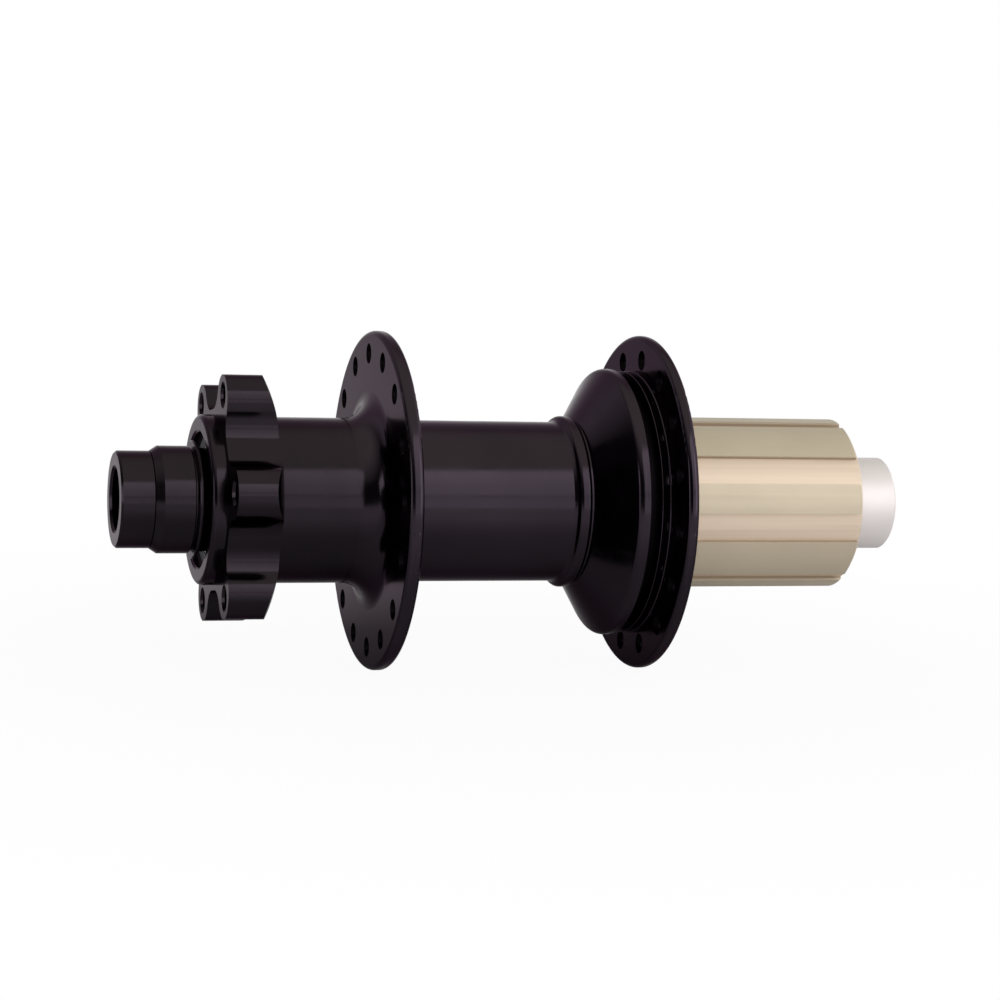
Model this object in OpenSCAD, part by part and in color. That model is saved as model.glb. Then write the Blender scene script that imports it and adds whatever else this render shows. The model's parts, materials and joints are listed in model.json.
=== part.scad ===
// Rear wheel hub for a through axle, with a six-bolt disc mount and a splined cassette freehub.
// The axle lies along Y: +Y is the disc side, -Y the drive side, +X forwards, +Z up.
// The origin is on the axle, halfway between the dropouts. Sizes are in millimetres.

/* [Width and through axle] */
// Width between the dropouts
over_locknut = 157; // [147:0.5:167]
// Bore of the end caps, which the through axle slides in
thru_bore_d = 12.1; // [11.5:0.1:12.6]
// Wall of an end cap's stub round the through axle
stub_wall = 1.5; // [1.4:0.1:1.8]
// Length of an end cap's stub inside the axle
stub_l = 10; // [7:0.5:14]
// Wall of the axle between the stub and the bearings
axle_wall = 0.9; // [0.8:0.1:1.2]

/* [End caps] */
// Diameter of the nose that sits in the dropout
nose_d = 18.5; // [17:0.1:20]
// Length of the disc side nose
nose_l = 6.5; // [5:0.5:8]
// Length of the cone behind the disc side nose
nose_cone_l = 1.5; // [0.5:0.1:2.5]
// Diameter of the disc side cap's body
cap_body_d = 20.5; // [20.2:0.1:22]
// Diameter of the dust collar that covers a bearing
collar_d = 22.6; // [21.6:0.1:23]
// Thickness of the dust collar
collar_t = 0.7; // [0.5:0.1:1]
// Distance of the dust collar from the bearing
collar_gap = 2.3; // [2:0.1:2.6]
// Width of the groove between the disc side collar and the cap's body
collar_groove_w = 0.5; // [0.3:0.1:0.8]
// Thickness of the O-ring on an end cap's stub
o_ring_t = 0.96; // [0.8:0.02:1.1]

/* [Bearings] */
// Height of a bearing between its bore and its outside
bearing_section = 4.5; // [4.2:0.1:5]
// Width of a bearing
bearing_w = 5; // [4.8:0.1:6]
// Diameter of a bearing ball
ball_d = 2.5; // [2.3:0.1:2.7]
// Number of balls in a bearing
ball_count = 16; // [10:1:18]
// Gap between the two races
race_gap = 1.4; // [1.2:0.1:1.6]
// Thickness of a bearing's rubber seal
bearing_seal_t = 0.4; // [0.3:0.05:0.5]

/* [Spoke flanges] */
// Distance of the disc side flange from the middle of the hub
disc_flange_at = 27.85; // [24:0.05:32]
// Distance of the drive side flange from the middle of the hub
drive_flange_at = 26; // [24:0.05:28]
// Thickness of the disc side flange
flange_t = 2.8; // [2.6:0.1:3.6]
// Thickness of the drive side flange
drive_flange_t = 2.3; // [2.2:0.1:3]
// Diameter of the circle of spoke holes
spoke_circle_d = 57; // [56:0.1:60]
// Material outside the spoke circle on the disc side
disc_flange_edge = 4.4; // [3.6:0.1:5]
// Material outside the spoke circle on the drive side
drive_flange_edge = 4.6; // [3.6:0.1:5]
// Spoke holes in each flange
spokes_per_flange = 16; // [12:2:18]
// Diameter of a spoke hole
spoke_hole_d = 2.6; // [2.3:0.1:2.8]
// Diameter of the countersink round a spoke hole
spoke_sink_d = 4; // [3.2:0.1:4.4]
// Rounding of a flange's rim
flange_round = 1; // [0.4:0.1:1]

/* [Hub barrel] */
// Diameter of the barrel on the disc side
barrel_d = 31.9; // [31:0.1:33]
// Diameter of the barrel between the flanges
waist_d = 31.4; // [30.6:0.1:33]
// Fillet from the barrel to the disc side flange
disc_fillet = 5.3; // [3:0.1:6]
// Fillet between the flanges, from the barrel to the disc side flange
waist_fillet = 3; // [1:0.1:5]
// Diameter of the bead at the foot of the bell
bead_d = 33.8; // [33.2:0.1:35]
// Length of the bead
bead_l = 3.84; // [3.4:0.01:4.6]
// Rounding of the bead
bead_round = 0.9; // [0.6:0.1:1]
// Fillet from the barrel to the bead
bead_fillet = 1.1; // [0.9:0.1:1.3]
// Diameter of the bell that covers the ratchet
bell_d = 52.8; // [52:0.1:54]
// Rounding of the bell's shoulder
bell_round = 1.5; // [1:0.1:2]
// Length of the straight land behind that rounding
bell_land = 1; // [0.6:0.1:1.4]
// Distance from the bell's shoulder to the middle of the drive side flange
bell_to_flange = 6.34; // [5.8:0.01:7]
// Length of the bell's cone, rounding and land, from the bead
bell_l = 8.04; // [7.4:0.01:8.8]
// Diameter of the ring that backs the drive side flange
flange_ring_d = 52; // [51:0.1:53]
// Thickness of the ring that backs the drive side flange
flange_ring_t = 1.1; // [0.8:0.1:2]
// Wall of the shell round the ratchet, in the groove behind the bell
bell_wall = 1.6; // [1.2:0.1:2]

/* [Disc mount] */
// Distance of the disc's face from the end of the hub
rotor_inset = 18.8; // [17:0.1:20]
// Diameter of the circle of disc bolts
rotor_circle_d = 44; // [43:0.1:46]
// Number of disc bolts
rotor_bolts = 6; // [6:1:6]
// Diameter of the hole that is tapped for a disc bolt
rotor_hole_d = 4.2; // [4:0.1:4.6]
// Depth of a disc bolt's hole
rotor_hole_l = 7.5; // [6:0.1:8]
// Radius of a tab's round end, which is half its width
tab_r = 4.9; // [4.2:0.1:5.2]
// Material outside the circle of disc bolts
tab_edge = 3.8; // [3.4:0.1:4.2]
// Fillet at the foot of a tab
tab_fillet = 5.2; // [4:0.1:6]
// Diameter across the floors of the scallops between the tabs
scallop_floor_d = 34.6; // [33.6:0.1:36]
// Radius of the curve behind the tabs
tab_back_r = 17.6; // [16.5:0.1:20]
// Length of the disc mount along the barrel
rotor_mount_l = 10.1; // [9.4:0.1:12]
// Diameter of the pilot that centres the disc
pilot_d = 32.6; // [32:0.1:33.4]
// Length of the pilot
pilot_l = 3; // [2.4:0.1:4]
// Rounding of the pilot's edge
pilot_round = 0.9; // [0.3:0.1:1.2]
// Depth of the disc side bearing behind the pilot's face
bearing_recess = 1.7; // [1.2:0.1:2.2]

/* [Ratchet and pawls] */
// Teeth in the ratchet ring
ratchet_teeth = 24; // [12:12:36]
// Depth of a ratchet tooth
tooth_depth = 1.5; // [1.2:0.1:1.8]
// Wall of the ratchet ring outside its teeth
ratchet_wall = 2.1; // [1.6:0.1:2.6]
// Length of the ratchet ring
ratchet_l = 7.8; // [7.2:0.1:9]
// Number of pawls
pawl_count = 4; // [4:1:4]
// Length of a pawl from its pivot to its tip
pawl_l = 7; // [6.4:0.1:7.4]
// Radius of a pawl's round heel
heel_r = 1.7; // [1.5:0.05:1.8]
// Width of a pawl
pawl_w = 6; // [5:0.1:6.2]
// Thickness of a pawl's leaf spring
spring_t = 0.25; // [0.15:0.05:0.3]

/* [Freehub] */
// Diameter over the cassette splines
spline_d = 34; // [33:0.1:35]
// Depth of a spline groove
spline_depth = 1; // [0.6:0.1:1.2]
// Length of the splines
spline_l = 36.5; // [32:0.5:40]
// Angle of each of the wide ridges
ridge_angle = 30; // [26:0.5:32]
// Angle of the narrow ridge, and of the groove on each side of it
key_angle = 20; // [16:0.5:22]
// Number of wide ridges
ridge_count = 8; // [8:1:8]
// Diameter of the flange that the cassette stops against
stop_d = 37.2; // [36:0.1:39]
// Thickness of that flange
stop_t = 1.6; // [1.2:0.1:2.4]
// Length of the plain lip at the outer end
end_lip_l = 0.7; // [0.6:0.1:2]
// Bore that is threaded for the lockring
lockring_bore_d = 30.2; // [29:0.1:30.6]
// Depth of the lockring's bore
lockring_depth = 6; // [5:0.1:7]

/* [Hidden] */
$fn = 96;

// Clearances
press_gap = 0.01;     // between pieces that are pressed together
slide_gap = 0.05;     // between an end cap's stub and the axle
ball_gap = 0.06;      // between a ball and a race's groove
cage_gap = 0.1;       // between a ball and its pocket
seal_gap = 0.1;       // between a bearing seal and the inner race
lip_gap = 0.3;        // between the freehub seal's lip and the land that it wipes
run_gap = 0.6;        // between the shell and the freehub, end to end
pawl_gap = 0.05;      // between a pawl's heel and its socket
pawl_side_gap = 0.2;  // between a pawl's side and its pocket
side_gap = 0.4;       // between the ratchet and what turns or sits beside it
carrier_gap = 0.7;    // between the pawl carrier and the tips of the ratchet's teeth
root_gap = 0.6;       // between an engaged pawl's tip and the floor of a tooth
tip_gap = 0.5;        // between a folded pawl's tip and the end of its pocket
circlip_gap = 0.1;    // on each side of the circlip, along the axle
nip_gap = 0.02;       // between an O-ring and what it seals against
tooth_lash = 0.8;     // degrees between a pawl's tip and the tooth that it swings past

// Walls, steps and recesses that follow from no standard
bearing_relief = 0.05;  // a shoulder's height under the edge of an inner race
seat_lip_relief = 0.15; // a seat lip's height over the edge of an outer race
seat_lip_w = 2;         // width of the lip that a bearing is pressed against
pocket_wall = 1.15;     // between a pawl's socket and the bearing
socket_roof = 0.25;     // from a pawl's socket to the carrier's outside
fold_depth = 0.3;       // how far a folded pawl's tip lies under the carrier's outside
pocket_end_wall = 0.6;  // of the carrier, beside the pockets, at its inner end
pocket_rear_wall = 0.4; // the same at its outer end
land_step = 0.2;        // the seal's land over the splines
mouth_l = 1.65;         // length of the bell's mouth past the flange
mouth_wall = 2.2;       // wall of the bell's mouth
ratchet_ahead = 2.66;   // from the bell's shoulder to the ratchet's shoulder
ratchet_backing = 1.5;  // wall between the ratchet and the drive side bearing
inboard_recess = 1.6;   // depth of the inboard bearing in the carrier
seal_inset = 0.6;       // of the freehub seal in the bell's mouth
seal_web = 2.8;         // height of the freehub seal's body
circlip_t = 1;          // thickness of the circlip
circlip_bite = 0.5;     // depth of the circlip's groove
groove_run_out = 0.3;   // from the end of a spline groove to the stop flange
bead_valley = 0.5;      // depth of the valley between the bead and the bell
valley_w = 0.3;         // width of that valley's floor
lip_step = 0.1;         // the plain end lip under the spline grooves
o_ring_inset = 3;       // from the end of an end cap's stub to its O-ring
o_ring_room = 1.3;      // width of an O-ring's groove, in thicknesses of the ring

// Broken edges
fine_edge = 0.2;
small_edge = 0.3;
edge = 0.4;
bold_edge = 0.5;

// Helpers for cutting and joining
over = 1;    // how far a cut runs past the surface that it opens
lap = 0.2;   // how far pieces of one profile run into each other
bite = 0.01; // how far a curve runs into one that it would only touch

// Angles round the axle start from the side that faces backwards and rise over the top
tab_turn = 10.2;
spoke_turn = 6.3;
key_turn = 9.3;
pawl_turn = 45;
function from_back(a) = 180 + a;

// Radii from the through axle outwards
thru_r = thru_bore_d / 2;
stub_r = thru_r + stub_wall;
axle_bore_r = stub_r + slide_gap;
bearing_bore_r = axle_bore_r + axle_wall;
axle_r = bearing_bore_r - press_gap;
bearing_r = bearing_bore_r + bearing_section;
seat_r = bearing_r + press_gap;
race_t = (bearing_section - race_gap) / 2;
inner_race_r = bearing_bore_r + race_t;
outer_race_r = bearing_r - race_t;
ball_r = ball_d / 2;
ball_pitch_r = (bearing_bore_r + bearing_r) / 2;
shoulder_r = inner_race_r - bearing_relief;
seat_lip_r = outer_race_r + seat_lip_relief;

// Radii of the pawls, the ratchet and what covers them
socket_r = heel_r + pawl_gap;
pivot_r = bearing_r + pocket_wall + socket_r;
carrier_r = pivot_r + socket_r + socket_roof;
tooth_tip_r = carrier_r + carrier_gap;
tooth_root_r = tooth_tip_r + tooth_depth;
ratchet_r = tooth_root_r + ratchet_wall;
ratchet_seat_r = ratchet_r + press_gap;
folded_tip_r = carrier_r - fold_depth;
engaged_tip_r = tooth_root_r - root_gap;
spline_r = spline_d / 2;
spline_floor_r = spline_r - spline_depth;
seal_land_r = spline_r + land_step;

// Places along the axle on the disc side
disc_end = over_locknut / 2;
rotor_face = disc_end - rotor_inset;
pilot_face = rotor_face + pilot_l;
disc_bearing_out = pilot_face - bearing_recess;
disc_bearing_in = disc_bearing_out - bearing_w;

// Places along the axle on the drive side, counted down from the middle of the hub
drive_end = -over_locknut / 2;
drive_flange_in = -drive_flange_at + drive_flange_t / 2;
drive_flange_out = -drive_flange_at - drive_flange_t / 2;
shell_end = drive_flange_out - mouth_l;
bell_shoulder = -drive_flange_at + bell_to_flange;
bell_foot = bell_shoulder + bell_l;
bead_end = bell_foot + bead_l;
ratchet_shoulder = bell_shoulder + ratchet_ahead;
ratchet_end = ratchet_shoulder - ratchet_l;
drive_bearing_out = ratchet_shoulder + ratchet_backing;
drive_bearing_in = drive_bearing_out + bearing_w;
carrier_end = ratchet_shoulder - side_gap;
pawl_pocket_in = carrier_end - pocket_end_wall;
pawl_pocket_out = pawl_pocket_in - pawl_w - 2 * pawl_side_gap;
carrier_out = pawl_pocket_out - pocket_rear_wall;
seal_out = shell_end + seal_inset;
seal_in = min(ratchet_end, carrier_out) - side_gap;
stop_in = shell_end - run_gap;
spline_in = stop_in - stop_t;
spline_out = spline_in - spline_l;
freehub_end = spline_out - end_lip_l;
lockring_floor = freehub_end + lockring_depth;
circlip_groove_w = circlip_t + circlip_gap;
outboard_bearing_out = lockring_floor + circlip_groove_w + circlip_gap;
outboard_bearing_in = outboard_bearing_out + bearing_w;
inboard_bearing_in = carrier_end - inboard_recess;
inboard_bearing_out = inboard_bearing_in - bearing_w;

// Turned pieces: a profile drawn as [radius, place along the axle] is spun round the axle
module about_axle() { rotate([-90, 0, 0]) children(); }
module turned() { about_axle() rotate_extrude() children(); }
module band(r0, r1, y0, y1) { translate([r0, min(y0, y1)]) square([r1 - r0, abs(y1 - y0)]); }
module dot(r, y, round) { translate([r, y]) circle(r = round); }

// A band whose two outer corners are rounded
module rim(r0, r1, y0, y1, round) {
    low = min(y0, y1);
    high = max(y0, y1);
    band(r0, r1 - round, low, high);
    band(r0, r1, low + round, high - round);
    dot(r1 - round, low + round, round);
    dot(r1 - round, high - round, round);
}

// A band with straight chamfers on its two outer corners
module chamfered(r0, r1, y0, y1, c) {
    low = min(y0, y1);
    high = max(y0, y1);
    polygon([[r0, low], [r1 - c, low], [r1, low + c], [r1, high - c], [r1 - c, high], [r0, high]]);
}

// A fillet in the corner at [r, y], on the side of larger y where up is 1 and smaller y where it is -1
module cove(r, y, round, up) {
    difference() {
        translate([r - lap, up > 0 ? y - lap : y - round]) square(round + lap);
        dot(r + round, y + up * round, round);
    }
}

// The point where a line from p touches the far side of a circle
function touch(p, c, r) =
    let (d = norm(c - p), a = atan2(c[1] - p[1], c[0] - p[0]) + asin(r / d))
    p + sqrt(d * d - r * r) * [cos(a), sin(a)];

// Hub shell: one turned piece with the disc mount, the two flanges and the bell over the ratchet
module shell_outline() {
    core_r = seat_lip_r - lap;
    disc_face = disc_flange_at + flange_t / 2;
    waist_face = disc_flange_at - flange_t / 2;
    foot = [bead_d / 2 - bead_valley, bell_foot];
    shoulder = [bell_d / 2 - bell_round, bell_shoulder + bell_land];
    rim(core_r, pilot_d / 2, rotor_face - pilot_l, pilot_face, pilot_round);
    band(core_r, barrel_d / 2, disc_flange_at, rotor_face);
    rim(core_r, spoke_circle_d / 2 + disc_flange_edge, waist_face, disc_face, flange_round);
    cove(barrel_d / 2, disc_face, disc_fillet, 1);
    cove(waist_d / 2, waist_face, waist_fillet, -1);
    band(core_r, waist_d / 2, bead_end - lap, disc_flange_at);
    bead_outline(core_r);
    polygon([[core_r, foot[1]], [core_r, shoulder[1]], shoulder,
        touch(foot, shoulder, bell_round - bite), foot]);
    intersection() {
        dot(shoulder[0], shoulder[1], bell_round);
        band(core_r, bell_d / 2 + over, bell_shoulder, shoulder[1] + bell_round + over);
    }
    band(core_r, bell_d / 2 - bite, bell_shoulder, shoulder[1]);
    band(core_r, ratchet_seat_r + bell_wall, drive_flange_in - lap, bell_shoulder + lap);
    band(core_r, flange_ring_d / 2, drive_flange_in - lap, drive_flange_in + flange_ring_t);
    rim(core_r, spoke_circle_d / 2 + drive_flange_edge, drive_flange_out, drive_flange_in, flange_round);
    chamfered(core_r, ratchet_seat_r + mouth_wall, shell_end, drive_flange_in, edge);
}

// The bead's crown, which sweeps down to the barrel on one side and to a valley before the bell on the other
module bead_outline(core_r) {
    rise = (bead_d - waist_d) / 2;
    sweep = bead_round + bead_fillet;
    run = sqrt(2 * sweep * rise - rise * rise);
    crown = bead_d / 2 - bead_round;
    crown_out = bead_end - run;
    crown_in = bell_foot + valley_w + sqrt(2 * bead_round * bead_valley - bead_valley * bead_valley);
    band(core_r, bead_d / 2, crown_in, crown_out);
    dot(crown, crown_in, bead_round);
    band(core_r, bead_d / 2 - bead_valley, bell_foot - lap, crown_in);
    difference() {
        union() {
            dot(crown, crown_out, bead_round);
            band(core_r, crown + bead_round * (sweep - rise) / sweep, crown_out, bead_end);
        }
        dot(waist_d / 2 + bead_fillet, bead_end, bead_fillet + bite);
    }
}

module shell_cavity() {
    band(0, seat_lip_r, shell_end - over, pilot_face + over);
    band(0, seat_r, disc_bearing_in, pilot_face + over);
    polygon([[0, pilot_face - edge], [seat_r, pilot_face - edge], [seat_r + edge + over, pilot_face + over],
        [0, pilot_face + over]]);
    band(0, seat_r, drive_bearing_in + seat_lip_w, disc_bearing_in - seat_lip_w);
    band(0, seat_r, shell_end - over, drive_bearing_in);
    band(0, ratchet_seat_r, shell_end - over, ratchet_shoulder);
}

// The disc mount's outline: tabs with parallel sides, filleted into a round floor between each two
module rotor_outline() {
    end_at = rotor_circle_d / 2 + tab_edge - tab_r;
    floor_r = scallop_floor_d / 2;
    pitch = 360 / rotor_bolts;
    fillet_off = tab_r + tab_fillet;
    fillet_out = sqrt(pow(floor_r + tab_fillet, 2) - pow(fillet_off, 2));
    floor_angle = pitch / 2 - atan2(fillet_off, fillet_out);
    difference() {
        union() {
            circle(r = norm([fillet_out, tab_r]));
            for (i = [0 : rotor_bolts - 1]) rotate(i * pitch) {
                translate([0, -tab_r]) square([end_at, 2 * tab_r]);
                translate([end_at, 0]) circle(r = tab_r);
            }
        }
        for (i = [0 : rotor_bolts - 1]) rotate(i * pitch) {
            for (side = [-1, 1])
                translate([fillet_out, side * fillet_off]) circle(r = tab_fillet + bite);
            rotate(pitch / 2) scallop_floor(floor_r, floor_angle, rotor_circle_d / 2);
        }
        circle(r = seat_r + lap);
    }
}

module scallop_floor(floor_r, half_angle, far) {
    difference() {
        polygon([[0, 0], for (a = [-half_angle, half_angle]) far * [cos(a), sin(a)]]);
        circle(r = floor_r);
    }
}

// The tabs' backs curve in to the barrel
module rotor_mount() {
    back = rotor_face - rotor_mount_l;
    about_axle() intersection() {
        translate([0, 0, back]) rotate(from_back(tab_turn)) linear_extrude(rotor_mount_l) rotor_outline();
        rotate_extrude() {
            intersection() {
                dot(pilot_d / 2, back + tab_back_r, tab_back_r);
                band(seat_r, rotor_circle_d / 2 + tab_edge + over, back, rotor_face + over);
            }
            band(seat_r, pilot_d / 2, back, rotor_face + over);
        }
    }
}

module rotor_holes() {
    about_axle() for (i = [0 : rotor_bolts - 1])
        rotate(from_back(tab_turn) + i * 360 / rotor_bolts) translate([rotor_circle_d / 2, 0, rotor_face]) {
            translate([0, 0, -rotor_hole_l]) cylinder(h = rotor_hole_l + over, d = rotor_hole_d);
            translate([0, 0, -bold_edge])
                cylinder(h = bold_edge + over, d1 = rotor_hole_d, d2 = rotor_hole_d + 2 * (bold_edge + over));
        }
}

module spoke_holes(y, t, turn) {
    sink = (spoke_sink_d - spoke_hole_d) / 2;
    about_axle() for (i = [0 : spokes_per_flange - 1])
        rotate(from_back(turn) + i * 360 / spokes_per_flange) translate([spoke_circle_d / 2, 0, y]) {
            cylinder(h = t + 2 * over, d = spoke_hole_d, center = true);
            for (side = [0, 180]) rotate([side, 0, 0]) translate([0, 0, t / 2 - sink])
                cylinder(h = sink + over, d1 = spoke_hole_d, d2 = spoke_sink_d + 2 * over);
        }
}

module hub_shell() {
    color("#221f24") difference() {
        union() {
            turned() difference() {
                shell_outline();
                shell_cavity();
            }
            rotor_mount();
        }
        rotor_holes();
        spoke_holes(disc_flange_at, flange_t, spoke_turn);
        spoke_holes(-drive_flange_at, drive_flange_t, spoke_turn + 180 / spokes_per_flange);
    }
}

// Ratchet ring in the bell: each tooth has a radial face that a pawl drives and a ramp that it slides over.
// The faces stand clear of the pawls' tips all the way as they swing out.
module ratchet_ring() {
    pitch = 360 / ratchet_teeth;
    face = from_back(pawl_turn) + tip_angle(pawl_angle(tooth_tip_r)) + tooth_lash;
    color("#8d8f93") about_axle() translate([0, 0, ratchet_end]) linear_extrude(ratchet_l) difference() {
        circle(r = ratchet_r);
        polygon([for (i = [0 : ratchet_teeth - 1], r = [tooth_root_r, tooth_tip_r])
            r * [cos(face + i * pitch), sin(face + i * pitch)]]);
    }
}

// Rubber lip seal in the mouth of the bell, which wipes the freehub's land
module freehub_seal() {
    lip_r = seal_land_r + lip_gap;
    lip_t = 0.7;
    root_r = lip_r + 0.4;
    root_out = seal_out + 0.8;
    root_in = seal_out + 1.8;
    web_r = ratchet_seat_r - seal_web;
    color("#1b1b1c") turned() {
        rim(web_r, ratchet_r, seal_out, seal_in, small_edge);
        band(root_r, web_r + lap, root_out, root_in);
        polygon([[lip_r, seal_out], [lip_r + lip_t, seal_out], [root_r + 2 * lap + lip_t, root_out + lap],
            [root_r, root_in]]);
    }
}

// Freehub body: pawl carrier, seal land, stop flange, splines and a lip with the lockring's bore
module freehub_outline() {
    core_r = seat_lip_r - lap;
    chamfered(core_r, carrier_r, carrier_out, carrier_end, fine_edge);
    band(core_r, seal_land_r, stop_in - lap, carrier_out + lap);
    chamfered(core_r, stop_d / 2, spline_in, stop_in, small_edge);
    chamfered(core_r, spline_r, spline_out, spline_in + stop_t / 2, small_edge);
    chamfered(core_r, spline_floor_r - lip_step, freehub_end, spline_out + over, fine_edge);
}

module freehub_cavity() {
    band(0, seat_lip_r, freehub_end - over, carrier_end + over);
    band(0, seat_r, inboard_bearing_out, carrier_end + over);
    band(0, seat_r, outboard_bearing_in + seat_lip_w, inboard_bearing_out - seat_lip_w);
    band(0, seat_r, freehub_end - over, outboard_bearing_in);
    band(0, seat_r + circlip_bite, outboard_bearing_out - circlip_groove_w, outboard_bearing_out);
    band(0, lockring_bore_d / 2, freehub_end - over, lockring_floor);
}

// Spline grooves: a wide one on each side of the narrow ridge, and even ones between the wide ridges
module spline_groove(start, angle) {
    about_axle() rotate(from_back(key_turn) + start) rotate_extrude(angle = angle)
        band(spline_floor_r, spline_r + over, spline_out - over / 2, spline_in - groove_run_out);
}

module spline_grooves() {
    gap_angle = (360 - 3 * key_angle - ridge_count * ridge_angle) / (ridge_count - 1);
    spline_groove(key_angle / 2, key_angle);
    spline_groove(-1.5 * key_angle, key_angle);
    for (i = [1 : ridge_count - 1])
        spline_groove(1.5 * key_angle + i * ridge_angle + (i - 1) * gap_angle, gap_angle);
}

// Pawls: the angle between a pawl and the tangent at its pivot, from the radius that its tip reaches
function pawl_angle(tip_r) =
    asin((tip_r * tip_r - pivot_r * pivot_r - pawl_l * pawl_l) / (2 * pivot_r * pawl_l));
folded_angle = pawl_angle(folded_tip_r);
engaged_angle = pawl_angle(engaged_tip_r);

// The angle round the axle from a pawl's pivot to its tip
function tip_angle(a) = atan2(pawl_l * cos(a), pivot_r + pawl_l * sin(a));

// Points along a pawl become [outwards, forwards] from its pivot, with the pawl turned out by an angle
function pawl_point(a, p) = [p[0] * sin(a) + p[1] * cos(a), p[0] * cos(a) - p[1] * sin(a)];
module on_pivot(i) {
    about_axle() rotate(from_back(pawl_turn) + i * 360 / pawl_count) translate([pivot_r, 0]) children();
}

module pawl(i) {
    tip_face_l = 2.6;
    tip_face = 90 - tip_angle(engaged_angle) - engaged_angle;
    inside_heel = 0.9 * heel_r;
    back_at = 54;
    outline = [
        [pawl_l - tip_face_l * cos(tip_face), -tip_face_l * sin(tip_face)],
        [0, -inside_heel],
        inside_heel * [cos(back_at), sin(back_at)],
        [pawl_l, 0]
    ];
    color("#5c6066") on_pivot(i) translate([0, 0, pawl_pocket_out + pawl_side_gap]) linear_extrude(pawl_w) {
        circle(r = heel_r);
        polygon([for (p = outline) pawl_point(folded_angle, p)]);
    }
}

// The floor of a pawl's pocket, in [outwards, forwards] from the pivot
floor_drop = 0.95;
floor_short = 0.6;
floor_start = [-socket_r, 0];
floor_end = [-socket_r - floor_drop, pawl_l - floor_short];
function on_floor(forwards) = floor_start + (forwards / floor_end[1]) * (floor_end - floor_start);

module pawl_pocket(i) {
    clear = carrier_r - pivot_r + over;
    wall = pawl_l + tip_gap;
    wall_foot = 0.3;
    behind = -0.2;
    on_pivot(i) translate([0, 0, pawl_pocket_out]) linear_extrude(pawl_w + 2 * pawl_side_gap) {
        circle(r = socket_r);
        polygon([[clear, behind], [clear, wall], [wall_foot, wall], floor_end, floor_start, [0, behind]]);
    }
}

// Leaf spring on the floor of the pocket, pressed flat by the folded pawl
module pawl_spring(i) {
    spring_w = pawl_w - 2 * bold_edge;
    lift = [0.03, 0];
    leaf = [spring_t, 0];
    near = on_floor(0.36 * pawl_l) + lift;
    far = on_floor(0.84 * pawl_l) + lift;
    color("#b9bcc0") on_pivot(i)
        translate([0, 0, (pawl_pocket_in + pawl_pocket_out - spring_w) / 2]) linear_extrude(spring_w)
            polygon([near, near + leaf, far + leaf, far]);
}

module freehub_body() {
    color("#b3ab92") difference() {
        turned() difference() {
            freehub_outline();
            freehub_cavity();
        }
        spline_grooves();
        for (i = [0 : pawl_count - 1]) pawl_pocket(i);
    }
}

// Circlip that holds the outboard bearing in the freehub, with an eye at each end for pliers
module freehub_circlip() {
    half_gap = 12;
    eye_turn = 15.6;
    inner_r = seat_r - 1.2;
    outer_r = seat_r + circlip_bite - slide_gap;
    eye_r = 0.9;
    eye_at = inner_r + 2 * eye_r / 3;
    back = outboard_bearing_out - circlip_t - circlip_gap / 2;
    color("#3a3b3e") about_axle() translate([0, 0, back]) difference() {
        union() {
            rotate(half_gap) rotate_extrude(angle = 360 - 2 * half_gap) band(inner_r, outer_r, 0, circlip_t);
            for (a = [-eye_turn, eye_turn]) rotate(a) translate([eye_at, 0])
                cylinder(h = circlip_t, r = eye_r);
        }
        for (a = [-eye_turn, eye_turn]) rotate(a) translate([eye_at, 0, -over])
            cylinder(h = circlip_t + 2 * over, r = eye_r / 2);
    }
}

// Axle: a tube with a thicker middle that keeps the two hub bearings apart
module axle() {
    color("#9a9da1") turned() difference() {
        union() {
            chamfered(axle_bore_r, axle_r, outboard_bearing_out + bold_edge, disc_bearing_out - bold_edge,
                small_edge);
            band(axle_bore_r, shoulder_r, drive_bearing_in, disc_bearing_in);
        }
        band(0, axle_bore_r, drive_end, disc_end);
    }
}

// End caps: a stub in the axle, a shoulder on the inner race, a dust collar and a nose for the dropout.
// Places are counted from the face of the bearing outwards, and side is 1 for disc and -1 for drive.
o_ring_at = -stub_l + o_ring_inset;
o_ring_r = axle_bore_r - nip_gap - o_ring_t / 2;
module from_bearing(face, side) { translate([0, face]) mirror([0, side > 0 ? 0 : 1]) children(); }

module cap_bore(length) {
    sink = length - bold_edge;
    groove_w = o_ring_room * o_ring_t;
    band(0, thru_r, -stub_l - over, length + over);
    polygon([[0, sink], [thru_r, sink], [thru_r + bold_edge + over, length + over], [0, length + over]]);
    band(o_ring_r - o_ring_t / 2 - nip_gap, stub_r + over,
        o_ring_at - groove_w / 2, o_ring_at + groove_w / 2);
}

module cap_stub() {
    chamfered(thru_r - lap, stub_r, -stub_l, lap, small_edge);
    band(thru_r - lap, shoulder_r - 2 * bearing_relief, 0, collar_gap + lap);
    chamfered(thru_r - lap, collar_d / 2, collar_gap, collar_gap + collar_t, fine_edge);
}

module disc_end_cap() {
    length = disc_end - disc_bearing_out;
    groove_depth = 0.6;
    body_in = collar_gap + collar_t + collar_groove_w;
    cone_in = length - nose_l - nose_cone_l;
    color("#1d1b1f") turned() from_bearing(disc_bearing_out, 1) difference() {
        union() {
            cap_stub();
            band(thru_r - lap, cap_body_d / 2 - groove_depth, collar_gap, body_in + lap);
            chamfered(thru_r - lap, cap_body_d / 2, body_in, cone_in + lap, fine_edge);
            polygon([[thru_r - lap, cone_in], [cap_body_d / 2, cone_in], [nose_d / 2, cone_in + nose_cone_l],
                [thru_r - lap, cone_in + nose_cone_l]]);
            chamfered(thru_r - lap, nose_d / 2, cone_in + nose_cone_l - lap, length, edge);
        }
        cap_bore(length);
    }
}

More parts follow.
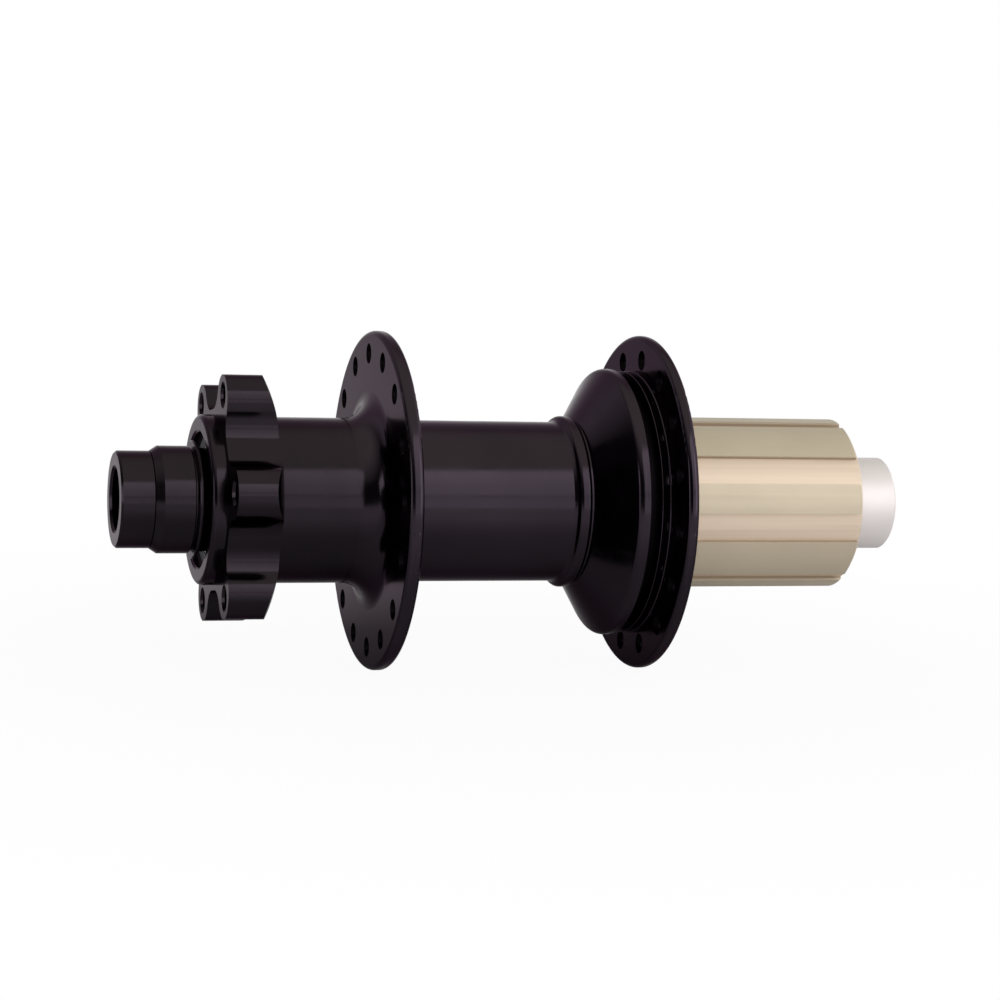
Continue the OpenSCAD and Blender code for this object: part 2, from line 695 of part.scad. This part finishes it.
module drive_end_cap() {
    length = outboard_bearing_out - drive_end;
    color("#c9cbce") turned() from_bearing(outboard_bearing_out, -1) difference() {
        union() {
            cap_stub();
            chamfered(thru_r - lap, nose_d / 2, collar_gap, length, edge);
        }
        cap_bore(length);
    }
}

module cap_o_ring(face, side) {
    color("#161617") turned() from_bearing(face, side) dot(o_ring_r, o_ring_at, o_ring_t / 2);
}

// Sleeves on the axle that keep the inner races apart
module sleeve(y0, y1) {
    color("#a8abaf") turned() chamfered(bearing_bore_r, shoulder_r, y0, y1, fine_edge);
}

// Bearings: each piece is drawn about the middle of the bearing, at y
module groove(y) { dot(ball_pitch_r, y, ball_r + ball_gap); }

module inner_race(y) {
    color("#c3c6ca") turned() difference() {
        band(bearing_bore_r, inner_race_r, y - bearing_w / 2, y + bearing_w / 2);
        groove(y);
    }
}

seal_tuck = 0.8;
module outer_race(y) {
    color("#c3c6ca") turned() difference() {
        band(outer_race_r, bearing_r, y - bearing_w / 2, y + bearing_w / 2);
        groove(y);
        for (side = [-1, 1]) band(outer_race_r - lap, outer_race_r + seal_tuck + press_gap,
            y + side * (bearing_w / 2 + over), y + side * (bearing_w / 2 - bearing_seal_t - press_gap));
    }
}

module bearing_seals(y) {
    color("#202124") turned() for (side = [-1, 1])
        band(inner_race_r + seal_gap, outer_race_r + seal_tuck,
            y + side * bearing_w / 2, y + side * (bearing_w / 2 - bearing_seal_t));
}

module on_balls(y) {
    about_axle() for (i = [0 : ball_count - 1]) rotate(i * 360 / ball_count) translate([ball_pitch_r, 0, y])
        children();
}

module bearing_cage(y) {
    half_t = 0.4;
    rail = 0.45;
    half_w = ball_r + cage_gap + rail;
    color("#b89a5a") difference() {
        turned() band(ball_pitch_r - half_t, ball_pitch_r + half_t, y - half_w, y + half_w);
        on_balls(y) rotate([0, 90, 0]) cylinder(h = 4 * half_t, r = ball_r + cage_gap, center = true);
    }
}

module bearing_balls(y) {
    color("#d4d6d9") on_balls(y) sphere(r = ball_r, $fn = 32);
}

disc_bearing = disc_bearing_out - bearing_w / 2;
drive_bearing = drive_bearing_out + bearing_w / 2;
inboard_bearing = inboard_bearing_out + bearing_w / 2;
outboard_bearing = outboard_bearing_out + bearing_w / 2;

hub_shell();
ratchet_ring();
freehub_seal();
freehub_body();
freehub_circlip();
pawl(0);  // pawl_1
pawl(1);  // pawl_2
pawl(2);  // pawl_3
pawl(3);  // pawl_4
pawl_spring(0);  // pawl_spring_1
pawl_spring(1);  // pawl_spring_2
pawl_spring(2);  // pawl_spring_3
pawl_spring(3);  // pawl_spring_4
axle();
disc_end_cap();
drive_end_cap();
cap_o_ring(disc_bearing_out, 1);  // disc_cap_o_ring
cap_o_ring(outboard_bearing_out, -1);  // drive_cap_o_ring
sleeve(inboard_bearing_in, drive_bearing_out);  // race_spacer
sleeve(outboard_bearing_in, inboard_bearing_out);  // freehub_spacer
inner_race(disc_bearing);  // disc_inner_race
outer_race(disc_bearing);  // disc_outer_race
bearing_seals(disc_bearing);  // disc_bearing_seals
bearing_cage(disc_bearing);  // disc_bearing_cage
bearing_balls(disc_bearing);  // disc_bearing_balls
inner_race(drive_bearing);  // drive_inner_race
outer_race(drive_bearing);  // drive_outer_race
bearing_seals(drive_bearing);  // drive_bearing_seals
bearing_cage(drive_bearing);  // drive_bearing_cage
bearing_balls(drive_bearing);  // drive_bearing_balls
inner_race(inboard_bearing);  // inboard_inner_race
outer_race(inboard_bearing);  // inboard_outer_race
bearing_seals(inboard_bearing);  // inboard_bearing_seals
bearing_cage(inboard_bearing);  // inboard_bearing_cage
bearing_balls(inboard_bearing);  // inboard_bearing_balls
inner_race(outboard_bearing);  // outboard_inner_race
outer_race(outboard_bearing);  // outboard_outer_race
bearing_seals(outboard_bearing);  // outboard_bearing_seals
bearing_cage(outboard_bearing);  // outboard_bearing_cage
bearing_balls(outboard_bearing);  // outboard_bearing_balls
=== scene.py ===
# %% [markdown]
# # A rear bicycle hub, dressed for its portrait
#
# The hub's solids come from a CAD model: a black shell with two spoke flanges, a pale gold freehub that
# carries the sprockets, two end caps and all the bearings and pawls inside. Blender adds what a CAD model
# lacks, which is the finishes, the screw threads, the rounded front of one ring, the light and the camera.
# Everything is in metres, and the axle lies along Y.

# %% Load the solids
import json
import math

import bmesh
import bpy
from mathutils import Matrix, Vector


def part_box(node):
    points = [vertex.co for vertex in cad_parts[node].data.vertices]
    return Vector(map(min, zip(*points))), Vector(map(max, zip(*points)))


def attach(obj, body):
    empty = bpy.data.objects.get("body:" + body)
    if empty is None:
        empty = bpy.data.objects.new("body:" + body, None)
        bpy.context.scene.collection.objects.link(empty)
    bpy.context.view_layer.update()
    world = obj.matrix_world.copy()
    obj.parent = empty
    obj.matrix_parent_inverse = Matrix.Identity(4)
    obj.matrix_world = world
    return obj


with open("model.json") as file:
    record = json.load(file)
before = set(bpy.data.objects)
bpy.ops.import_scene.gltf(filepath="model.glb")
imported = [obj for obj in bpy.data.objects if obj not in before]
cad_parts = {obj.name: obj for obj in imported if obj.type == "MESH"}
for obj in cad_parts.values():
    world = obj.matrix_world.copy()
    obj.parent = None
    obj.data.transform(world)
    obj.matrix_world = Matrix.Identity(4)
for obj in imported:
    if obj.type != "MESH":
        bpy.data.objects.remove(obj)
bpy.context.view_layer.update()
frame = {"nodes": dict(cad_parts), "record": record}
MM = 0.001
FULL_TURN = 2 * math.pi

# %% [markdown]
# ## Where the camera stands
#
# The photograph looks at the hub from its side, a little towards the disc and a little from above. A long
# lens keeps the ellipses of the two flanges nearly alike. Eyeballing a camera never ends, so these few
# numbers were solved once, from the ends of the axle and the rims of the flanges.

# %% Directions of the camera
towards_disc = math.radians(16.84)
above = math.radians(6.79)
roll = math.radians(2.326)

back = Vector((-math.cos(towards_disc) * math.cos(above),
               math.sin(towards_disc) * math.cos(above),
               math.sin(above)))
level_right = Vector((-math.sin(towards_disc), -math.cos(towards_disc), 0))
level_up = back.cross(level_right)
right = math.cos(roll) * level_right + math.sin(roll) * level_up
up = math.cos(roll) * level_up - math.sin(roll) * level_right
print("the camera looks along", [round(-c, 3) for c in back])

# %% Camera
camera_distance = 537.4 * MM
aside, higher = 2.32 * MM, -0.22 * MM
focal_length, sensor_width = 98.15, 36

lens = bpy.data.cameras.new("portrait_lens")
lens.lens, lens.sensor_width = focal_length, sensor_width
lens.clip_start = 10 * MM
camera = bpy.data.objects.new("portrait_camera", lens)
place = camera_distance * back - aside * right - higher * up
camera.matrix_world = Matrix.Translation(place) @ Matrix((right, up, back)).transposed().to_4x4()
bpy.context.scene.collection.objects.link(camera)
bpy.context.scene.camera = camera
bpy.context.scene.view_settings.view_transform = "Standard"
print("camera at", [round(c, 3) for c in camera.matrix_world.translation])

# %% [markdown]
# ## Building a finish from nodes
#
# Each finish is one shader fed by a few patterns. Six small helpers keep the node trees readable: they add
# a node, do a sum, give a noise pattern, spread a pattern between two numbers, mix two tones by a pattern,
# and turn a pattern into relief.

# %% Helpers that add nodes
def add(tree, kind, **settings):
    node = tree.nodes.new("ShaderNode" + kind)
    for name, value in settings.items():
        setattr(node, name, value)
    return node


def math_of(tree, operation, *terms):
    node = add(tree, "Math", operation=operation)
    for socket, term in zip(node.inputs, terms):
        if isinstance(term, (int, float)):
            socket.default_value = term
        else:
            tree.links.new(term, socket)
    return node.outputs[0]


def noise(tree, place, scale, detail=2.0):
    node = add(tree, "TexNoise")
    node.inputs["Scale"].default_value = scale
    node.inputs["Detail"].default_value = detail
    tree.links.new(place, node.inputs["Vector"])
    return node.outputs["Fac"]


# %% Helpers that shape a pattern
def spread(tree, pattern, low, high, start=0.3, stop=0.7):
    node = add(tree, "MapRange")
    tree.links.new(pattern, node.inputs["Value"])
    for name, value in (("From Min", start), ("From Max", stop), ("To Min", low), ("To Max", high)):
        node.inputs[name].default_value = value
    return node.outputs["Result"]


def two_tone(tree, share, first, second):
    node = add(tree, "Mix", data_type="RGBA")
    factor, tone_sockets, mixed = node.inputs[0], node.inputs[6:8], node.outputs[2]
    tree.links.new(share, factor)
    for socket, tone in zip(tone_sockets, (first, second)):
        if isinstance(tone, tuple):
            socket.default_value = (*tone, 1)
        else:
            tree.links.new(tone, socket)
    return mixed


def relief(tree, pattern, depth):
    node = add(tree, "Bump")
    node.inputs["Distance"].default_value = depth
    tree.links.new(pattern, node.inputs["Height"])
    return node.outputs["Normal"]

# %% [markdown]
# Nearly everything here was made on a lathe, so its marks run round the axle. A pattern that reads only the
# radius and the place along the axle gives rings on a turned face and fine threads of light on a barrel. A
# pattern that is squeezed along the axle gives the streaks of a milling cutter.

# %% Places on a turned piece
def object_place(tree):
    return add(tree, "TexCoord").outputs["Object"]


def part_of(tree, vector, letter):
    split = add(tree, "SeparateXYZ")
    tree.links.new(vector, split.inputs[0])
    return split.outputs[letter]


def radius_at(tree):
    squares = []
    for letter in "XZ":
        side = part_of(tree, object_place(tree), letter)
        squares.append(math_of(tree, "MULTIPLY", side, side))
    return math_of(tree, "SQRT", math_of(tree, "ADD", *squares))


def lathe_place(tree):
    rings = add(tree, "CombineXYZ")
    tree.links.new(radius_at(tree), rings.inputs["X"])
    tree.links.new(part_of(tree, object_place(tree), "Y"), rings.inputs["Y"])
    return rings.outputs[0]


def milled_place(tree, squeeze):
    mapping = add(tree, "Mapping")
    mapping.inputs["Scale"].default_value = (1, squeeze, 1)
    tree.links.new(object_place(tree), mapping.inputs["Vector"])
    return mapping.outputs[0]

# %% [markdown]
# Every finish starts from the same shader and ends on some of the solids, so both jobs have a helper too. A
# number that is the same all over a finish is set on the shader itself.

# %% Helpers that start and use a finish
def new_finish(name, metallic, **constants):
    finish = bpy.data.materials.new(name)
    finish.use_nodes = True
    tree = finish.node_tree
    shader = tree.nodes["Principled BSDF"]
    shader.inputs["Metallic"].default_value = metallic
    for socket, value in constants.items():
        shader.inputs[socket.replace("_", " ")].default_value = value
    return finish, tree, shader


def dress(finish, *nodes):
    for node in nodes:
        piece = frame["nodes"][node]
        piece.data.materials.clear()
        piece.data.materials.append(finish)
    print(finish.name, "on", len(nodes), "pieces")

# %% [markdown]
# ## Black anodised aluminium
#
# The shell and the disc side cap are turned from aluminium, polished, and dyed black in an oxide layer. It
# isn't paint: the metal still gleams through, faintly brown and purple. So the shader is a very dark metal.
# The lathe's rings vary its roughness and slow clouds vary the dye. Towards the disc side the colour is
# painted darker, as shade.

# %% Dye of the black finish, and painted shade on the disc side
black, tree, shader = new_finish("black_anodised", 1.0, Specular_Tint=(0.5, 0.47, 0.49, 1))
radius = radius_at(tree)
along = part_of(tree, object_place(tree), "Y")
clouds = spread(tree, noise(tree, object_place(tree), scale=45, detail=3), low=0, high=1)
shell_dye = two_tone(tree, clouds, (0.0270, 0.0208, 0.0272), (0.0335, 0.0256, 0.0336))
# Painted shade: a darker copy of the dye, which takes over beside the disc flange.
shaded_dye = two_tone(tree, clouds, (0.0205, 0.0162, 0.0205), (0.0255, 0.0200, 0.0252))
shade_from, full_shade_at = 30 * MM, 38 * MM
disc_side_shade = spread(tree, along, low=0, high=1, start=shade_from, stop=full_shade_at)
dye_and_shade = two_tone(tree, disc_side_shade, shell_dye, shaded_dye)
print("dye deepens over", round((full_shade_at - shade_from) / MM, 1), "mm beside the disc flange")

# %% [markdown]
# The walls of the spoke holes and the groove behind the bell are painted near black, as shade, and made
# rougher.
# The hole walls are the only faces at that radius that don't look along the axle.
# Both places are found by their size and place on the hub, so the shell still needs only one finish.

# %% Places painted in shade, and made rougher
def between(tree, value, low, high):
    return math_of(tree, "MULTIPLY", math_of(tree, "GREATER_THAN", value, low),
                   math_of(tree, "LESS_THAN", value, high))


holes_from_r, holes_to_r = 26.45 * MM, 30.6 * MM
groove_from, groove_to, groove_r = -23.8 * MM, -19.6 * MM, 24.5 * MM
flat_face = 0.9
looks_along = math_of(tree, "ABSOLUTE", part_of(tree, add(tree, "TexCoord").outputs["Normal"], "Y"))
sideways = math_of(tree, "LESS_THAN", looks_along, flat_face)
drilled = math_of(tree, "MULTIPLY", sideways, between(tree, radius, holes_from_r, holes_to_r))
in_groove = math_of(tree, "MULTIPLY", between(tree, along, groove_from, groove_to),
                    math_of(tree, "LESS_THAN", radius, groove_r))
shaded_and_rough = math_of(tree, "MAXIMUM", drilled, in_groove)
print("unpolished: hole walls, and a groove of", round((groove_to - groove_from) / MM, 1), "mm")

# %% Black anodised finish
# Painted shade: near black for the hole walls and the groove, darker than the dye.
recess_shade_tone = (0.005, 0.004, 0.005)
unpolished_roughness = 0.25
rings = lathe_place(tree)
polish = spread(tree, noise(tree, rings, scale=350), low=0.14, high=0.20)
dulled = math_of(tree, "MULTIPLY", shaded_and_rough, unpolished_roughness)
tool_marks = noise(tree, rings, scale=2600, detail=1)
tree.links.new(two_tone(tree, shaded_and_rough, dye_and_shade, recess_shade_tone), shader.inputs["Base Color"])
tree.links.new(math_of(tree, "ADD", polish, dulled), shader.inputs["Roughness"])
tree.links.new(relief(tree, tool_marks, depth=0.004 * MM), shader.inputs["Normal"])
dress(black, "hub_shell", "disc_end_cap")

# %% [markdown]
# ## The freehub's champagne anodising
#
# The sprockets slide onto the freehub's splines. It is anodised in a thin pale gold that stays matt, and
# the grooves between the ridges are lighter, because the cutter that milled them left fine streaks along
# the axle. The ridges' side walls are painted darker, as shade between the ridges. The radius tells a
# groove's floor, a wall and a ridge apart.

# %% Champagne anodised finish
champagne, tree, shader = new_finish("champagne_anodised", 0.35)
# Painted shade: the side walls are darker than both the groove floors and the ridge tops.
wall_shade_tone = (0.34, 0.27, 0.19)
radius = radius_at(tree)
clouds = spread(tree, noise(tree, object_place(tree), scale=60, detail=3), low=0, high=1)
streaks = noise(tree, milled_place(tree, squeeze=0.012), scale=1500, detail=3)
grain = noise(tree, object_place(tree), scale=2200)
on_wall = spread(tree, radius, low=0, high=1, start=16.03 * MM, stop=16.08 * MM)
on_ridge = spread(tree, radius, low=0, high=1, start=16.60 * MM, stop=16.65 * MM)
ridge_tone = two_tone(tree, clouds, (0.465, 0.394, 0.293), (0.515, 0.437, 0.330))
cut = spread(tree, streaks, low=0, high=1)
groove_tone = two_tone(tree, cut, (0.600, 0.480, 0.373), (0.680, 0.550, 0.435))
below_ridge = two_tone(tree, on_wall, groove_tone, wall_shade_tone)
tree.links.new(two_tone(tree, on_ridge, below_ridge, ridge_tone), shader.inputs["Base Color"])
tree.links.new(spread(tree, streaks, low=0.38, high=0.52), shader.inputs["Roughness"])
tree.links.new(relief(tree, grain, depth=0.006 * MM), shader.inputs["Normal"])
dress(champagne, "freehub_body")

# %% [markdown]
# ## Silver, steel, brass and rubber
#
# The drive side cap is bead blasted before it is anodised, which gives it a soft, even grey with no rings.
# The axle and its sleeves are bare turned aluminium. Races, pawls and the toothed ring are ground and
# hardened steel. The turned metals differ only in tone and polish, so one function makes them all.

# %% Silver anodised finish
silver, tree, shader = new_finish("silver_anodised", 0.3)
blasting = noise(tree, object_place(tree), scale=2600, detail=3)
clouds = spread(tree, noise(tree, object_place(tree), scale=80), low=0, high=1)
tone = two_tone(tree, clouds, (0.71, 0.66, 0.655), (0.76, 0.71, 0.70))
tree.links.new(tone, shader.inputs["Base Color"])
tree.links.new(spread(tree, blasting, low=0.40, high=0.50), shader.inputs["Roughness"])
tree.links.new(relief(tree, blasting, depth=0.008 * MM), shader.inputs["Normal"])
dress(silver, "drive_end_cap")


# %% Turned and ground metals
def lathe_metal(name, dark, light, smooth, rough):
    finish, tree, shader = new_finish(name, 1.0)
    marks = noise(tree, lathe_place(tree), scale=1800)
    stain = spread(tree, noise(tree, object_place(tree), scale=150, detail=3), low=0, high=1)
    tree.links.new(two_tone(tree, stain, dark, light), shader.inputs["Base Color"])
    tree.links.new(spread(tree, marks, smooth, rough), shader.inputs["Roughness"])
    tree.links.new(relief(tree, marks, depth=0.004 * MM), shader.inputs["Normal"])
    return finish


PLACES = ("disc", "drive", "inboard", "outboard")
PAWLS = (1, 2, 3, 4)
dress(lathe_metal("axle_aluminium", (0.55, 0.56, 0.57), (0.64, 0.65, 0.66), smooth=0.28, rough=0.42),
      "axle", "race_spacer", "freehub_spacer")
dress(lathe_metal("hardened_steel", (0.26, 0.26, 0.28), (0.36, 0.36, 0.38), smooth=0.25, rough=0.40),
      "ratchet_ring", "freehub_circlip", *[f"pawl_{i}" for i in PAWLS])
dress(lathe_metal("spring_steel", (0.48, 0.46, 0.42), (0.58, 0.56, 0.52), smooth=0.20, rough=0.32),
      *[f"pawl_spring_{i}" for i in PAWLS])
dress(lathe_metal("bearing_steel", (0.42, 0.42, 0.43), (0.50, 0.50, 0.51), smooth=0.12, rough=0.22),
      *[f"{place}_{race}_race" for place in PLACES for race in ("inner", "outer")],
      *[f"{place}_bearing_balls" for place in PLACES])
dress(lathe_metal("brass_cage", (0.55, 0.40, 0.17), (0.66, 0.50, 0.24), smooth=0.28, rough=0.42),
      *[f"{place}_bearing_cage" for place in PLACES])

# %% Black rubber
rubber, tree, shader = new_finish("black_rubber", 0.0)
skin = noise(tree, object_place(tree), scale=1800, detail=3)
bloom = spread(tree, skin, low=0, high=1)
tone = two_tone(tree, bloom, (0.012, 0.012, 0.013), (0.022, 0.021, 0.021))
tree.links.new(tone, shader.inputs["Base Color"])
tree.links.new(spread(tree, skin, low=0.50, high=0.66), shader.inputs["Roughness"])
tree.links.new(relief(tree, skin, depth=0.01 * MM), shader.inputs["Normal"])
dress(rubber, "freehub_seal", "disc_cap_o_ring", "drive_cap_o_ring",
      *[f"{place}_bearing_seals" for place in PLACES])

# %% [markdown]
# ## Screw threads
#
# The solids have plain bores where the real hub is threaded: one for the lockring that keeps the sprockets
# on, and six for the disc bolts. A thread is a small triangle that turns round the bore and climbs by one
# pitch on each turn, and the spin operator does both at once. A second helper closes the seams of a new
# piece, gives it its finish, and makes it ride on the body that carries it.

# %% A helper that winds a thread
def wind_thread(bm, bore_r, depth, pitch, y_from, length, steps_per_turn):
    turns = length / pitch
    steps = round(turns * steps_per_turn)
    flank, sunk = 0.42 * pitch, 0.02 * MM
    foot_r, crest_r = bore_r + sunk, bore_r - depth
    profile = ((foot_r, y_from), (crest_r, y_from + flank), (foot_r, y_from + 2 * flank))
    start = bm.faces.new([bm.verts.new((r, y, 0)) for r, y in profile])
    bmesh.ops.spin(bm, geom=[start], cent=(0, 0, 0), axis=(0, 1, 0), dvec=(0, length / steps, 0),
                   angle=FULL_TURN * turns, steps=steps, use_duplicate=False)


# %% A helper that finishes a piece
def finish_piece(name, bm, finish, body):
    bmesh.ops.remove_doubles(bm, verts=bm.verts, dist=0.0001 * MM)
    bmesh.ops.recalc_face_normals(bm, faces=bm.faces)
    mesh = bpy.data.meshes.new(name)
    bm.to_mesh(mesh)
    bm.free()
    mesh.materials.append(finish)
    piece = bpy.data.objects.new(name, mesh)
    bpy.context.scene.collection.objects.link(piece)
    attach(piece, body)
    print(name, "faces:", len(mesh.polygons))
    return mesh


# %% Lockring thread in the freehub's outer end
freehub_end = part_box("freehub_body")[0].y
bm = bmesh.new()
wind_thread(bm, bore_r=15.1 * MM, depth=0.4 * MM, pitch=1.0 * MM, y_from=freehub_end + 0.6 * MM,
            length=4 * MM, steps_per_turn=72)
finish_piece("lockring_thread", bm, champagne, "freehub")

# %% [markdown]
# The bolt threads are alike, so a loop winds each of them on the axle and moves it out to its place on the
# bolt circle. The CAD record says where that circle is, and its point on the disc's face lies towards the
# first bolt. The threads share one mesh, because nothing ever moves them apart.

# %% Disc bolt threads
mounts = {mount["name"]: mount for mount in frame["record"]["mounts"]}
tab_x, disc_face, tab_z = mounts["rotor_face"]["pos_m"]
pattern = mounts["rotor_bolts"]["dims"]
bolt_circle_r, bolt_r, bolts = pattern["pcd_mm"] / 2 * MM, pattern["hole_r_mm"] * MM, pattern["count"]
first_bolt = math.atan2(-tab_z, tab_x)
bm = bmesh.new()
for i in range(bolts):
    one = bmesh.new()
    wind_thread(one, bore_r=bolt_r, depth=0.15 * MM, pitch=0.8 * MM, y_from=disc_face - 7.2 * MM,
                length=6 * MM, steps_per_turn=24)
    turn = first_bolt + i * FULL_TURN / bolts
    bolt_axis = (bolt_circle_r * math.cos(turn), 0, -bolt_circle_r * math.sin(turn))
    bmesh.ops.translate(one, verts=one.verts, vec=bolt_axis)
    wound = bpy.data.meshes.new("one_thread")
    one.to_mesh(wound)
    one.free()
    bm.from_mesh(wound)
    bpy.data.meshes.remove(wound)
finish_piece("disc_bolt_threads", bm, black, "hub")

# %% [markdown]
# ## The ring behind the bell
#
# A ring is turned on the inner face of the drive flange. Its two edges are rounded, so each draws a thin
# line of light behind the bell. The solid has only the foot of the ring, so this piece adds its front. The
# front edge and the bead at the foot are one profile, spun round the axle. Between them the ring is slightly
# undercut, and mirrors only the dark face of the flange.

# %% Profile of the ring
def arc(centre_r, centre_y, radius, from_angle, to_angle, steps=10):
    angles = [math.radians(from_angle + (to_angle - from_angle) * i / steps) for i in range(steps + 1)]
    return [(centre_r + radius * math.cos(t), centre_y + radius * math.sin(t)) for t in angles]


ring_r, ring_inner_r = 26.0 * MM, 24.6 * MM
ring_front, ring_foot, ring_back = -22.1 * MM, -23.75 * MM, -24.0 * MM
front_round, foot_round, foot_inset = 0.17 * MM, 0.27 * MM, 0.14 * MM
profile = [(ring_inner_r, ring_back), (ring_inner_r, ring_front)]
profile += arc(ring_r - front_round, ring_front - front_round, front_round, from_angle=90, to_angle=-12)
profile += arc(ring_r - foot_inset, ring_foot - foot_inset, foot_round, from_angle=105, to_angle=-60)
profile += [(ring_r - 2 * foot_round, ring_back)]
print("ring stands", round((ring_front - ring_foot) / MM, 2), "mm out of the solid one")

# %% Rounded ring on the drive flange
bm = bmesh.new()
section = bm.faces.new([bm.verts.new((r, y, 0)) for r, y in profile])
bmesh.ops.delete(bm, geom=[section], context="FACES_ONLY")
bmesh.ops.spin(bm, geom=bm.verts[:] + bm.edges[:], cent=(0, 0, 0), axis=(0, 1, 0), dvec=(0, 0, 0),
               angle=FULL_TURN, steps=180, use_merge=True, use_duplicate=False)
mesh = finish_piece("drive_flange_ring", bm, black, "hub")
mesh.shade_smooth()
mesh.set_sharp_from_angle(angle=math.radians(25))

# %% [markdown]
# ## Floor and light
#
# The hub lies on its two flanges on a white table. The table is a real matt floor with the hub's shadow on
# it. For the camera it also glows, more so further away, until it meets the white of the world with no
# horizon. In the hub's reflections it glows only away from the hub, so the barrel still mirrors its own
# shadow.

# %% Floor
floor_reach = 4
floor_z = min(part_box("hub_shell")[0].z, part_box("freehub_body")[0].z)
bm = bmesh.new()
bmesh.ops.create_grid(bm, x_segments=8, y_segments=8, size=floor_reach)
bmesh.ops.translate(bm, verts=bm.verts, vec=(0, 0, floor_z))
floor_mesh = bpy.data.meshes.new("floor")
bm.to_mesh(floor_mesh)
bm.free()
floor = bpy.data.objects.new("floor", floor_mesh)
bpy.context.scene.collection.objects.link(floor)
print("floor at", round(floor_z / MM, 2), "mm")


# %% What the camera and the reflections see
def by_ray(tree, seen, mirrored):
    path = add(tree, "LightPath")
    direct = math_of(tree, "MAXIMUM", path.outputs["Is Camera Ray"], path.outputs["Is Transmission Ray"])
    return math_of(tree, "ADD", math_of(tree, "MULTIPLY", direct, seen),
                   math_of(tree, "MULTIPLY", path.outputs["Is Glossy Ray"], mirrored))


# %% White table
table = bpy.data.materials.new("white_table")
table.use_nodes = True
tree = table.node_tree
tree.nodes.remove(tree.nodes["Principled BSDF"])
matt = add(tree, "BsdfDiffuse")
matt.inputs["Color"].default_value = (0.86, 0.86, 0.86, 1)
glow = add(tree, "Emission")
reach = add(tree, "VectorMath", operation="LENGTH")
tree.links.new(object_place(tree), reach.inputs[0])
seen = spread(tree, reach.outputs["Value"], low=0.95, high=1.0, start=60 * MM, stop=200 * MM)
beside_the_hub = math_of(tree, "ABSOLUTE", part_of(tree, object_place(tree), "X"))
mirrored = spread(tree, beside_the_hub, low=0.08, high=0.95, start=42 * MM, stop=110 * MM)
blend = add(tree, "MixShader")
for source, socket in zip((by_ray(tree, seen, mirrored), matt.outputs[0], glow.outputs[0]), blend.inputs):
    tree.links.new(source, socket)
tree.links.new(blend.outputs[0], tree.nodes["Material Output"].inputs["Surface"])
floor_mesh.materials.append(table)
print("table glows for the camera, and away from the hub for reflections")

# %% [markdown]
# Black metal is drawn by what it mirrors. The photograph's studio has a white sweep behind the hub, a
# slightly warm ceiling and a bright screen past the drive side. The rest of the room is dark, on the left
# and behind the camera, and that is why the bell's cone is deep black between two lines of light. The world
# gives the camera plain white, gives reflections this studio, and lights everything softly.

# %% World
room_light = 0.33
white, warm_white = (1, 1, 1), (1, 1, 0.86)
world = bpy.data.worlds.new("white_room")
bpy.context.scene.world = world
world.use_nodes = True
tree = world.node_tree
room = tree.nodes["Background"]
way = add(tree, "TexCoord").outputs["Generated"]
sweep = spread(tree, part_of(tree, way, "X"), low=0, high=1, start=0.34, stop=0.70)
ceiling = spread(tree, part_of(tree, way, "Z"), low=0, high=1, start=0.40, stop=0.85)
screen = spread(tree, part_of(tree, way, "Y"), low=1.7, high=0.06, start=-0.8, stop=-0.3)
studio = math_of(tree, "MAXIMUM", math_of(tree, "MAXIMUM", sweep, ceiling), screen)
extra = by_ray(tree, 1 - room_light, math_of(tree, "SUBTRACT", studio, room_light))
tree.links.new(math_of(tree, "ADD", extra, room_light), room.inputs["Strength"])
tree.links.new(two_tone(tree, by_ray(tree, 0, ceiling), white, warm_white), room.inputs["Color"])
print("room light", room_light)

# %% [markdown]
# A large soft box stands on the camera's right, with a dimmer one under it. The barrel mirrors both as one
# broad band of light that fades downwards. Two strips draw thin lines on the rounded edges of the flanges
# and the bell. A low fill light brightens the matt pieces from the front, and isn't mirrored.

# %% Soft boxes
def soft_box(name, place, wide, tall, watts):
    light = bpy.data.lights.new(name, "AREA")
    light.shape, light.size, light.size_y, light.energy = "RECTANGLE", wide, tall, watts
    lamp = bpy.data.objects.new(name, light)
    lamp.location = place
    lamp.rotation_euler = place.to_track_quat("Z", "Y").to_euler()
    bpy.context.scene.collection.objects.link(lamp)
    print(name, watts, "W")
    return lamp


soft_box("front_box", 0.72 * back + 0.52 * level_right + 0.43 * level_up, wide=0.73, tall=0.62, watts=2.45)
soft_box("low_box", 0.82 * back + 0.59 * level_right, wide=0.75, tall=0.25, watts=0.82)
soft_box("left_strip", 0.44 * back - 0.79 * level_right + 0.09 * level_up, wide=0.32, tall=0.34, watts=0.75)
soft_box("right_strip", 0.46 * back + 0.78 * level_right + 0.15 * level_up, wide=0.40, tall=0.7, watts=1.2)
fill = soft_box("fill", 0.85 * back + 0.25 * level_right, wide=0.50, tall=0.15, watts=2.2)
fill.visible_glossy = False
